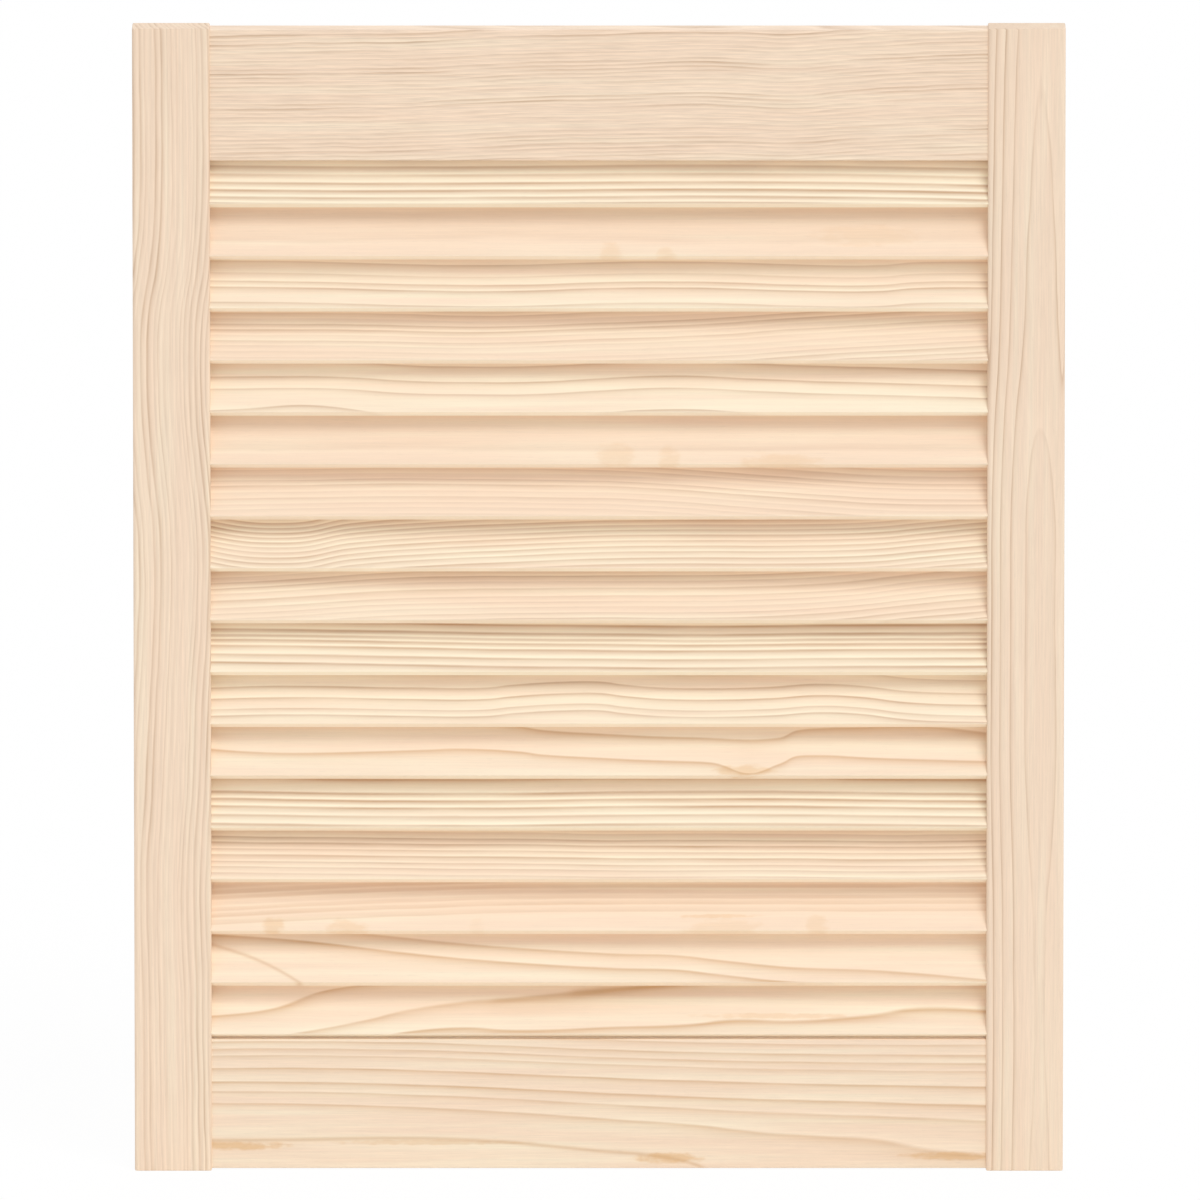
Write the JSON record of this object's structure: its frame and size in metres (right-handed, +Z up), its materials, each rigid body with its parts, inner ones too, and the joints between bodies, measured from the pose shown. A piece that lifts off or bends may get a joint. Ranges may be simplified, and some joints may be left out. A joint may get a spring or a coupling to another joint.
{
  "type": "louvred cabinet door",
  "caption": "Pine cabinet door with stiles, rails and fixed slanted louvres that let air through, joined with hidden dowels.",
  "frame": {"origin": "middle of the door's bottom, on the plane that the stiles stand on, half way between front and back", "axes": "+Z up along the stiles, +X to the right as seen from the front, +Y from the front to the back"},
  "size_m": [0.494, 0.021, 0.615],
  "materials": {
    "pine_stile": "planed, unfinished",
    "pine_rail": "planed, unfinished",
    "pine_louvre": "planed, unfinished",
    "beech_dowel": "turned and fluted, unfinished"
  },
  "bodies": {
    "root": {"left_stile": "pine_stile", "right_stile": "pine_stile", "top_rail": "pine_rail", "bottom_rail": "pine_rail", "louvre_01": "pine_louvre", "louvre_02": "pine_louvre", "louvre_03": "pine_louvre", "louvre_04": "pine_louvre", "louvre_05": "pine_louvre", "louvre_06": "pine_louvre", "louvre_07": "pine_louvre", "louvre_08": "pine_louvre", "louvre_09": "pine_louvre", "louvre_10": "pine_louvre", "louvre_11": "pine_louvre", "louvre_12": "pine_louvre", "louvre_13": "pine_louvre", "louvre_14": "pine_louvre", "louvre_15": "pine_louvre", "louvre_16": "pine_louvre", "louvre_17": "pine_louvre", "top_left_upper_dowel": "beech_dowel", "top_left_lower_dowel": "beech_dowel", "top_right_upper_dowel": "beech_dowel", "top_right_lower_dowel": "beech_dowel", "bottom_left_upper_dowel": "beech_dowel", "bottom_left_lower_dowel": "beech_dowel", "bottom_right_upper_dowel": "beech_dowel", "bottom_right_lower_dowel": "beech_dowel"}
  },
  "joints": []
}
